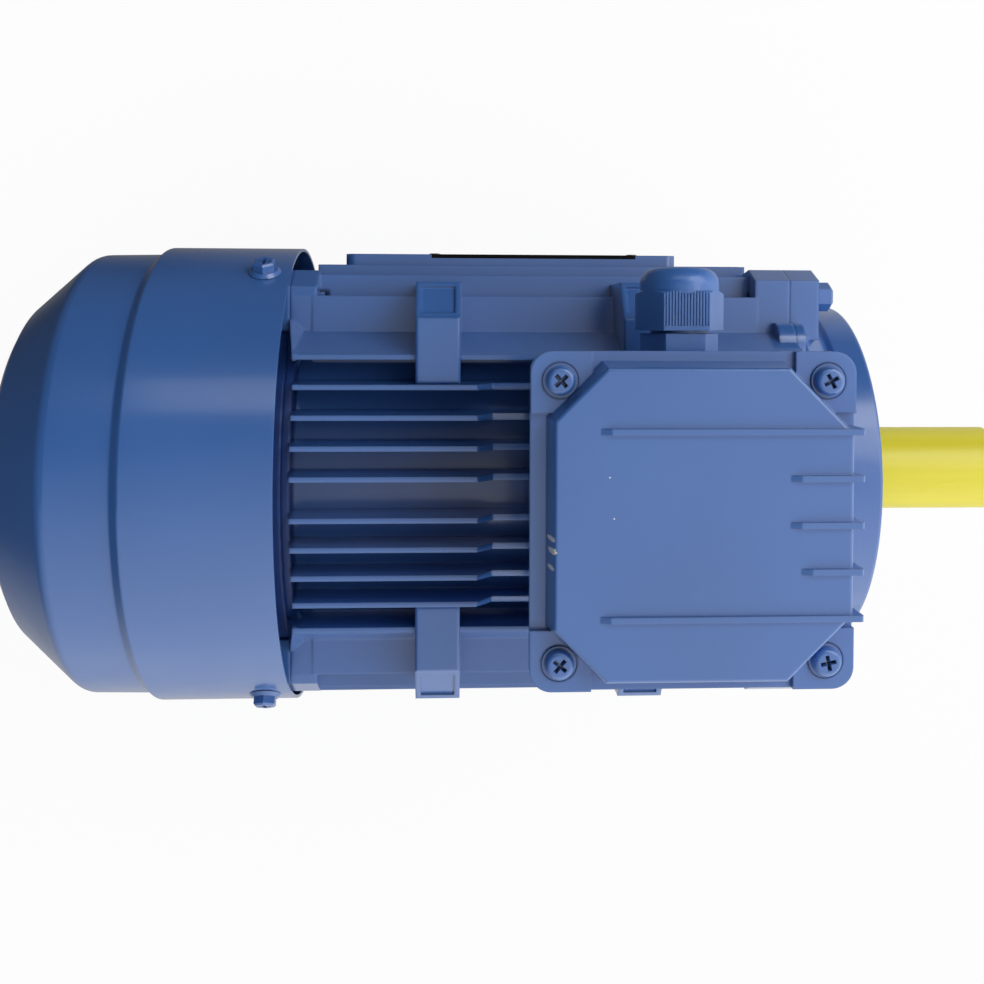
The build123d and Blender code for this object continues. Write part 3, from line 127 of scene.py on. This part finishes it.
class Shader:
    """A new material with one principled shader, and short ways to add nodes to it."""

    def __init__(self, name):
        self.material = bpy.data.materials.new(name)
        self.material.use_nodes = True
        self.tree = self.material.node_tree
        self.surface = self.tree.nodes["Principled BSDF"]
        self.place = self.tree.nodes.new("ShaderNodeTexCoord").outputs["Object"]

    def node(self, kind, **values):
        """A node with its named sockets set to values, or linked where a value is a socket."""
        made = self.tree.nodes.new(kind)
        for key, value in values.items():
            self.put(made.inputs[key.replace("_", " ")], value)
        return made

    def put(self, socket, value):
        put(self.tree, socket, value)

    def set(self, **values):
        """Sets or links the shader's own sockets."""
        for key, value in values.items():
            self.put(self.surface.inputs[key.replace("_", " ")], value)

    def maths(self, operation, *values):
        return maths(self.tree, operation, *values)

    def flattened(self, *kept):
        """The object's own coordinates, kept along the axes with 1 and zero along the others."""
        return vector_maths(self.tree, "MULTIPLY", self.place, kept, result="Vector")

    def stretched(self, x, y, z):
        """The object's own coordinates, scaled."""
        made = self.tree.nodes.new("ShaderNodeMapping")
        made.inputs["Scale"].default_value = (x, y, z)
        self.put(made.inputs["Vector"], self.place)
        return made.outputs["Vector"]

    def noise(self, scale, detail=3.0, vector=None):
        """Noise from 0 to 1. scale is its count of features to the metre."""
        made = self.node("ShaderNodeTexNoise", Scale=scale, Detail=detail)
        self.put(made.inputs["Vector"], vector or self.place)
        return made.outputs["Fac"]

    def ramp(self, value, low, high, from_value=0.0, to_value=1.0):
        """value mapped so that low gives from_value and high gives to_value, softly clipped."""
        made = self.tree.nodes.new("ShaderNodeMapRange")
        made.interpolation_type = "SMOOTHSTEP"
        for i, number in enumerate((low, high, from_value, to_value)):
            made.inputs[i + 1].default_value = number
        self.put(made.inputs["Value"], value)
        return made.outputs["Result"]

    def mix(self, share, first, second):
        """Two colours or colour sockets, mixed by share."""
        made = self.tree.nodes.new("ShaderNodeMix")
        made.data_type = "RGBA"
        self.put(made.inputs["Factor"], share)
        for socket, value in ((made.inputs[6], first), (made.inputs[7], second)):
            if isinstance(value, bpy.types.NodeSocket):
                self.put(socket, value)
            else:
                socket.default_value = (*value, 1.0)
        return made.outputs[2]

    def rounded(self, radius):
        """The surface's normal with its edges eased over radius, in metres."""
        made = self.tree.nodes.new("ShaderNodeBevel")
        made.samples = BEVEL_SAMPLES
        made.inputs["Radius"].default_value = radius
        return made.outputs["Normal"]

    def bump(self, height, distance, normal=None, strength=1.0):
        """The normal after a height from 0 to 1 over distance, in metres."""
        made = self.node("ShaderNodeBump", Strength=strength, Distance=distance, Height=height)
        if normal:
            self.put(made.inputs["Normal"], normal)
        return made.outputs["Normal"]

    def relief(self, normal, scale, detail, depth, strength, stretch=None):
        """normal with a noise relief on it, stretched along the axes where stretch is given."""
        vector = self.stretched(*stretch) if stretch else None
        return self.bump(self.noise(scale, detail, vector), depth, normal, strength)


# Paints. Scales are features to the metre
BLUE = (0.0415, 0.128, 0.383)
GLAND_BLUE = (0.048, 0.148, 0.425)
DEEP_SHARE, PALE_SHARE = 0.92, 1.05
PATCHES, MOTTLE, GLOSS_PATCHES = 14.0, 160.0, 60.0
ENAMEL_ROUGH = (0.29, 0.39)
COAT_ROUGH = 0.16
SOFT_DEPTH = 6 * MM

# Reliefs: features to the metre, detail, depth, strength, and how they are stretched
CAST_GRAIN = (950.0, 2.0, 0.04 * MM, 0.55)
CAST_SKIN = (210.0, 3.0, 0.12 * MM, 0.5)
PEEL = (700.0, 1.0, 0.01 * MM, 0.5)
SHEET_WAVES = (22.0, 1.0, 0.4 * MM, 0.35, (0.35, 1.0, 1.0))
GUARD_GRAIN = (240.0, 2.0, 0.08 * MM, 0.6, (0.05, 1.0, 1.0))

# Painted shade and rust in the screws' recesses: a dark rusty brown where ambient occlusion is low
RECESS_SHADE_AND_RUST = (0.030, 0.018, 0.012)
RECESS = 1.6 * MM
RECESS_SAMPLES = 4

# Rare pale flecks
FLECK_COLOUR = (0.55, 0.6, 0.66)
FLECKS, FLECK_PATCHES = 75.0, 23.0

# Chips in the lid's paint, from its corner: along X, along Y, and their reach
CHIP_COLOUR = (0.72, 0.72, 0.64)
CHIP_RAGGED = 1500.0
CHIPS_MM = (
    (6.3, 49.7, 0.9),
    (6.7, 46.0, 1.1),
    (6.3, 40.6, 0.8),
    (24.1, 69.1, 0.3),
    (25.5, 56.3, 0.25),
)
lid_chips = [(lid_corner.x + x * MM, lid_corner.y + y * MM, r * MM) for x, y, r in CHIPS_MM]

# Painted shade: the casting's collar under the cowl's rim is painted a darker blue with a thinner
# coat, in place of the shade that falls there
RIM_SHADE_PAST_END = 3.5 * MM
RIM_SHADE_R = 77.5 * MM
RIM_SHADE_FADE = 1 * MM
RIM_SHADE_BLUE = (0.014, 0.046, 0.20)
RIM_SHADE_COAT = 0.1


def flecked(s, tone):
    """tone with rare pale flecks."""
    flecks = s.node("ShaderNodeTexVoronoi", Scale=FLECKS, Vector=s.place)
    tiny = s.ramp(flecks.outputs["Distance"], 0.035, 0.05, 1.0, 0.0)
    rare = s.ramp(s.noise(FLECK_PATCHES), 0.6, 0.62)
    return s.mix(s.maths("MULTIPLY", tiny, rare), tone, FLECK_COLOUR)


def chipped(s, tone, chips):
    """tone with ragged chips, each at x and y with its reach."""
    flat = s.flattened(1.0, 1.0, 0.0)
    nearest = None
    for x, y, reach in chips:
        gap = vector_maths(s.tree, "DISTANCE", flat, (x, y, 0.0))
        closer = s.maths("DIVIDE", gap, reach)
        nearest = s.maths("MINIMUM", nearest, closer) if nearest else closer
    ragged = s.maths("ADD", nearest, s.noise(CHIP_RAGGED, 2.0))
    return s.mix(s.ramp(ragged, 1.3, 1.5, 1.0, 0.0), tone, CHIP_COLOUR)


def rim_shade_share(s):
    """Where the painted shade goes: 1 on the collar under the cowl's rim, 0 elsewhere."""
    along = s.node("ShaderNodeSeparateXYZ", Vector=s.place).outputs["X"]
    reach = vector_maths(s.tree, "LENGTH", s.flattened(0.0, 1.0, 1.0))
    edge = rear_x + RIM_SHADE_PAST_END
    under = s.ramp(along, edge, edge + RIM_SHADE_FADE, 1.0, 0.0)
    inside = s.ramp(reach, RIM_SHADE_R, RIM_SHADE_R + RIM_SHADE_FADE, 1.0, 0.0)
    return s.maths("MULTIPLY", under, inside)


def enamel(name, colour, edge, cast=True, specks=False, recess_shade_and_rust=False, rim_shade=False, coat=0.9,
           soft=0.0, chips=()):
    """Glossy blue enamel. Castings show a pebbled skin under it, pressed steel long soft waves."""
    s = Shader(name)
    deep = tuple(c * DEEP_SHARE for c in colour)
    pale = tuple(c * PALE_SHARE for c in colour)
    tone = s.mix(s.ramp(s.noise(PATCHES, 1.0), 0.2, 0.8), deep, pale)
    tone = s.mix(s.ramp(s.noise(MOTTLE, 1.0), 0.5, 0.9, 0.0, 0.3), tone, pale)
    if specks:
        tone = flecked(s, tone)
    if chips:
        tone = chipped(s, tone, chips)
    # Painted shade with rust: recesses darken to a rusty brown where ambient occlusion is low
    if recess_shade_and_rust:
        recess_occlusion = s.node("ShaderNodeAmbientOcclusion", Distance=RECESS)
        recess_occlusion.samples = RECESS_SAMPLES
        tone = s.mix(s.ramp(recess_occlusion.outputs["AO"], 0.15, 0.42), RECESS_SHADE_AND_RUST, tone)
    # Painted shade: the collar under the cowl's rim gets a darker blue and a thinner coat
    if rim_shade:
        share = rim_shade_share(s)
        tone = s.mix(share, tone, RIM_SHADE_BLUE)
        coat = s.ramp(share, 0.0, 1.0, coat, RIM_SHADE_COAT)
    fine, coarse = (CAST_GRAIN, CAST_SKIN) if cast else (PEEL, SHEET_WAVES)
    normal = s.relief(s.relief(s.rounded(edge), *fine), *coarse)
    s.set(Base_Color=tone, Normal=normal, Metallic=0.0)
    s.set(Roughness=s.ramp(s.noise(GLOSS_PATCHES, 1.0), 0.2, 0.8, *ENAMEL_ROUGH))
    s.set(Coat_Weight=coat, Coat_Roughness=COAT_ROUGH, Specular_IOR_Level=0.45)
    s.set(Subsurface_Weight=soft, Subsurface_Scale=SOFT_DEPTH, Subsurface_Radius=(1.0, 1.0, 1.0))
    return s.material


def moulded(name, colour, rough, edge=0.3 * MM, grain=0.03 * MM, shine=0.5):
    """Moulded plastic or rubber with a fine grain."""
    s = Shader(name)
    dark = tuple(c * 0.85 for c in colour)
    tone = s.mix(s.ramp(s.noise(40.0, 4.0), 0.35, 0.7), dark, colour)
    normal = s.relief(s.rounded(edge), 1400.0, 2.0, grain, 0.5)
    s.set(Base_Color=tone, Normal=normal)
    s.set(Roughness=s.ramp(s.noise(90.0), 0.3, 0.7, rough - 0.05, rough + 0.08))
    s.set(Specular_IOR_Level=shine)
    return s.material


def metal(name, colour, rough, lines=(1.0, 1.0, 1.0), edge=0.2 * MM):
    """Bare metal with tool marks; lines stretches them along one way."""
    s = Shader(name)
    dark = tuple(c * 0.8 for c in colour)
    marks = s.noise(900.0, 3.0, s.stretched(*lines))
    tone = s.mix(s.ramp(marks, 0.3, 0.7), dark, colour)
    s.set(Base_Color=tone, Metallic=1.0)
    s.set(Roughness=s.ramp(marks, 0.3, 0.7, rough - 0.07, rough + 0.1))
    s.set(Normal=s.bump(marks, 0.02 * MM, s.rounded(edge), 0.4))
    return s.material


def guard_plastic():
    """Soft yellow plastic, drawn lengthwise."""
    s = Shader("yellow_plastic")
    streaks = s.noise(70.0, 3.0, s.stretched(0.06, 1.0, 1.0))
    tone = s.mix(s.ramp(streaks, 0.35, 0.65), (0.70, 0.61, 0.03), (0.79, 0.69, 0.05))
    normal = s.relief(s.rounded(0.6 * MM), *GUARD_GRAIN)
    s.set(Base_Color=tone, Normal=normal, Roughness=s.ramp(streaks, 0.3, 0.7, 0.26, 0.4))
    s.set(Subsurface_Weight=0.25, Subsurface_Scale=4 * MM, Subsurface_Radius=(1.0, 0.8, 0.2))
    return s.material


def laminations():
    """Stacked steel sheets, seen edge-on as fine rings."""
    s = Shader("lamination_steel")
    stack = s.tree.nodes.new("ShaderNodeTexWave")
    stack.inputs["Scale"].default_value = 320.0
    s.put(stack.inputs["Vector"], s.place)
    tone = s.mix(stack.outputs["Fac"], (0.12, 0.12, 0.125), (0.34, 0.34, 0.35))
    s.set(Base_Color=tone, Metallic=0.9, Roughness=0.45)
    s.set(Normal=s.bump(stack.outputs["Fac"], 0.1 * MM))
    return s.material


def copper_coils():
    """Varnished copper wire, wound round the core."""
    s = Shader("winding_copper")
    wires = s.noise(260.0, 3.0, s.stretched(1.0, 0.2, 0.2))
    tone = s.mix(s.ramp(wires, 0.35, 0.65), (0.20, 0.055, 0.015), (0.62, 0.24, 0.08))
    s.set(Base_Color=tone, Metallic=0.6, Roughness=0.35, Coat_Weight=0.6)
    s.set(Normal=s.bump(wires, 0.6 * MM, None, 0.8))
    return s.material


finishes = {
    # frame_paint carries the painted shade on the collar under the cowl's rim
    "frame_paint": enamel("frame_paint", BLUE, 1.5 * MM, rim_shade=True),
    "sheet_paint": enamel("sheet_paint", BLUE, 0.5 * MM, cast=False),
    "box_paint": enamel("box_paint", BLUE, 0.9 * MM, specks=True, chips=lid_chips),
    # painted_fasteners carries painted shade with rust in the screws' recesses
    "painted_fasteners": enamel("painted_fasteners", BLUE, 0.4 * MM, cast=False, recess_shade_and_rust=True),
    "black_plate": moulded("black_plate", (0.003, 0.003, 0.004), 0.5, shine=0.08),
    "bright_steel": metal("bright_steel", (0.62, 0.61, 0.59), 0.25, (0.1, 1.0, 1.0)),
    "bearing_steel": metal("bearing_steel", (0.74, 0.74, 0.74), 0.12),
    "cage_brass": metal("cage_brass", (0.72, 0.52, 0.24), 0.3),
    "lamination_steel": laminations(),
    "winding_copper": copper_coils(),
    "cast_aluminium": metal("cast_aluminium", (0.72, 0.72, 0.73), 0.42),
    "black_rubber": moulded("black_rubber", (0.014, 0.014, 0.015), 0.6, grain=0.06 * MM),
    "gland_plastic": enamel("gland_plastic", GLAND_BLUE, 0.4 * MM, cast=False, coat=0.3, soft=0.6),
    "fan_plastic": moulded("fan_plastic", (0.035, 0.036, 0.04), 0.5),
    "yellow_plastic": guard_plastic(),
    "board_plastic": moulded("board_plastic", (0.02, 0.02, 0.022), 0.55),
    "terminal_brass": metal("terminal_brass", (0.80, 0.60, 0.28), 0.28),
}
slot_of = {part["node"]: part["material_slot"] for part in frame["record"]["subparts"]}


def dress(piece, slot):
    """Gives a mesh one finish."""
    piece.data.materials.clear()
    piece.data.materials.append(finishes[slot])


for node, cad_object in frame["nodes"].items():
    for material_slot in cad_object.material_slots:
        material_slot.material = finishes[slot_of[node]]


# The housing casting: gussets that run out in the outermost fins, and a shorter rear collar

COLLAR_R = 77.6 * MM
STEP_BACK = 2.3 * MM
FIN_BACK = 1.1 * MM
STEP_AT = (4 * MM, 6 * MM)
STEP_HALF_WIDTH = 48.7 * MM
GUSSET_END = 3.6 * MM
GUSSET_FROM = (46 * MM, 68 * MM)
GUSSET_TO = (56 * MM, 76 * MM)
FLARE_TOP = (51.3 * MM, 72.9 * MM)
MESH_SLACK = 0.1 * MM


def copy_of(node, name):
    """A new piece with its own copy of a CAD node's mesh, which it replaces."""
    piece = bpy.data.objects.new(name, frame["nodes"][node].data.copy())
    scene.collection.objects.link(piece)
    dress(piece, slot_of[node])
    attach(piece, "motor")
    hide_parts(node)
    return piece


def in_gusset(y, z):
    """Whether a place across the housing lies in the top of a corner gusset."""
    across = GUSSET_FROM[0] < abs(y) < GUSSET_TO[0]
    return across and GUSSET_FROM[1] < abs(z) < GUSSET_TO[1]


for vertex in copy_of("frame_housing", "housing_casting").data.vertices:
    x, y, z = vertex.co
    past_end = x - rear_x
    if STEP_AT[0] < past_end < STEP_AT[1] and abs(y) < STEP_HALF_WIDTH:
        x -= STEP_BACK if math.hypot(y, z) < COLLAR_R else FIN_BACK
    if past_end < MESH_SLACK and in_gusset(y, z):
        x += GUSSET_END
        if abs(y) > FLARE_TOP[0]:
            y, z = math.copysign(FLARE_TOP[0], y), math.copysign(FLARE_TOP[1], z)
    vertex.co = (x, y, z)


# The plate is set into the pad's face over its full height, and its rivets with it

PLATE_SUNK = 1.05 * MM
PLATE_THICKER = 1.4
PLATE_HIGHER = 1.156
RIVET_OUT = 3.1 * MM
plate_outer_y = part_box("nameplate")[1].y
for vertex in copy_of("nameplate", "plate_seated").data.vertices:
    vertex.co.y = plate_outer_y - PLATE_SUNK - (plate_outer_y - vertex.co.y) * PLATE_THICKER
    vertex.co.z *= PLATE_HIGHER
for vertex in copy_of("nameplate_rivets", "plate_rivets").data.vertices:
    vertex.co.y -= PLATE_SUNK
    vertex.co.z += math.copysign(RIVET_OUT, vertex.co.z)


# Stage: a pale floor under the motor, and soft light from above and around

FLOOR_DROP = 1 * MM
floor_z = cad_low.z - FLOOR_DROP
SEEN_SHARE = 0.93
MIRROR_LEVEL = 0.5
MIRROR_SLOPE = (1.0, -1.3, 0.0)
MIRROR_BRIGHTEST = 1.0
DARKEST = 0.02


def clipped_slope(tree, vector, slope, level, brightest):
    """level plus vector times slope, kept between DARKEST and brightest."""
    lifted = maths(tree, "ADD", vector_maths(tree, "DOT_PRODUCT", vector, slope), level)
    limits = tree.nodes.new("ShaderNodeClamp")
    put(tree, limits.inputs["Min"], DARKEST)
    put(tree, limits.inputs["Max"], brightest)
    put(tree, limits.inputs["Value"], lifted)
    return limits.outputs["Result"]


def floor_material():
    """Matt and pale. Eyes see it nearly white; in reflections it fades as the room does."""
    s = Shader("pale_floor")
    s.set(Base_Color=(0.82, 0.82, 0.83, 1.0), Roughness=0.9, Specular_IOR_Level=0.1)
    rays = s.tree.nodes.new("ShaderNodeLightPath").outputs
    eyes = s.maths("MAXIMUM", rays["Is Camera Ray"], rays["Is Transmission Ray"])
    level = clipped_slope(s.tree, s.place, MIRROR_SLOPE, MIRROR_LEVEL, MIRROR_BRIGHTEST)
    shown = s.surface.outputs["BSDF"]
    seen = s.maths("MULTIPLY", eyes, SEEN_SHARE)
    for share, strength in ((seen, 1.0), (rays["Is Glossy Ray"], level)):
        glow = s.node("ShaderNodeEmission", Strength=strength)
        blend = s.tree.nodes.new("ShaderNodeMixShader")
        for socket, value in zip(blend.inputs, (share, shown, glow.outputs["Emission"])):
            s.put(socket, value)
        shown = blend.outputs["Shader"]
    s.put(s.tree.nodes["Material Output"].inputs["Surface"], shown)
    return s.material


TABLE_HALF = 0.8
middle = (cad_low + cad_high) / 2
CORNERS = ((-1, -1), (1, -1), (1, 1), (-1, 1))
floor_mesh = bpy.data.meshes.new("floor")
table = [(i * TABLE_HALF, k * TABLE_HALF, 0) for i, k in CORNERS]
floor_mesh.from_pydata(table, [], [(0, 1, 2, 3)])
floor = bpy.data.objects.new("floor", floor_mesh)
floor.location = (middle.x, middle.y, floor_z)
scene.collection.objects.link(floor)
floor_mesh.materials.append(floor_material())


# The room: brighter towards +X and -Y, dark the other way, white where the camera sees it
ROOM_LEVEL = 0.37
ROOM_SLOPE = (0.95, -1.1, 0.3)
ROOM_BRIGHTEST = 1.8

world = bpy.data.worlds.new("studio")
scene.world = world
world.use_nodes = True
room = world.node_tree
background = room.nodes["Background"]
background.inputs["Color"].default_value = (1.0, 1.0, 1.0, 1.0)
direction = room.nodes.new("ShaderNodeTexCoord").outputs["Generated"]
room_light = clipped_slope(room, direction, ROOM_SLOPE, ROOM_LEVEL, ROOM_BRIGHTEST)
room_rays = room.nodes.new("ShaderNodeLightPath")
white = room.nodes.new("ShaderNodeMix")
put(room, white.inputs["Factor"], room_rays.outputs["Is Camera Ray"])
put(room, white.inputs["A"], room_light)
put(room, white.inputs["B"], 1.0)
put(room, background.inputs["Strength"], white.outputs["Result"])


def softbox(name, place, aim, size, radiance):
    """A rectangular lamp at place, pointed at aim, as bright to look at as radiance."""
    data = bpy.data.lights.new(name, "AREA")
    data.shape = "RECTANGLE"
    data.size, data.size_y = size
    data.energy = radiance * math.pi * size[0] * size[1]
    lamp = bpy.data.objects.new(name, data)
    lamp.location = place
    lamp.rotation_euler = (Vector(aim) - Vector(place)).to_track_quat("-Z", "Y").to_euler()
    scene.collection.objects.link(lamp)


softbox(
    "side_light",
    place=(0.07, 0.70, 0.80), aim=(0.07, 0.02, 0.06),
    size=(1.2, 0.30), radiance=1.5,
)
softbox(
    "front_light",
    place=(0.60, 0.52, 0.82), aim=(-0.13, 0.0, 0.03),
    size=(0.9, 0.9), radiance=2.2,
)
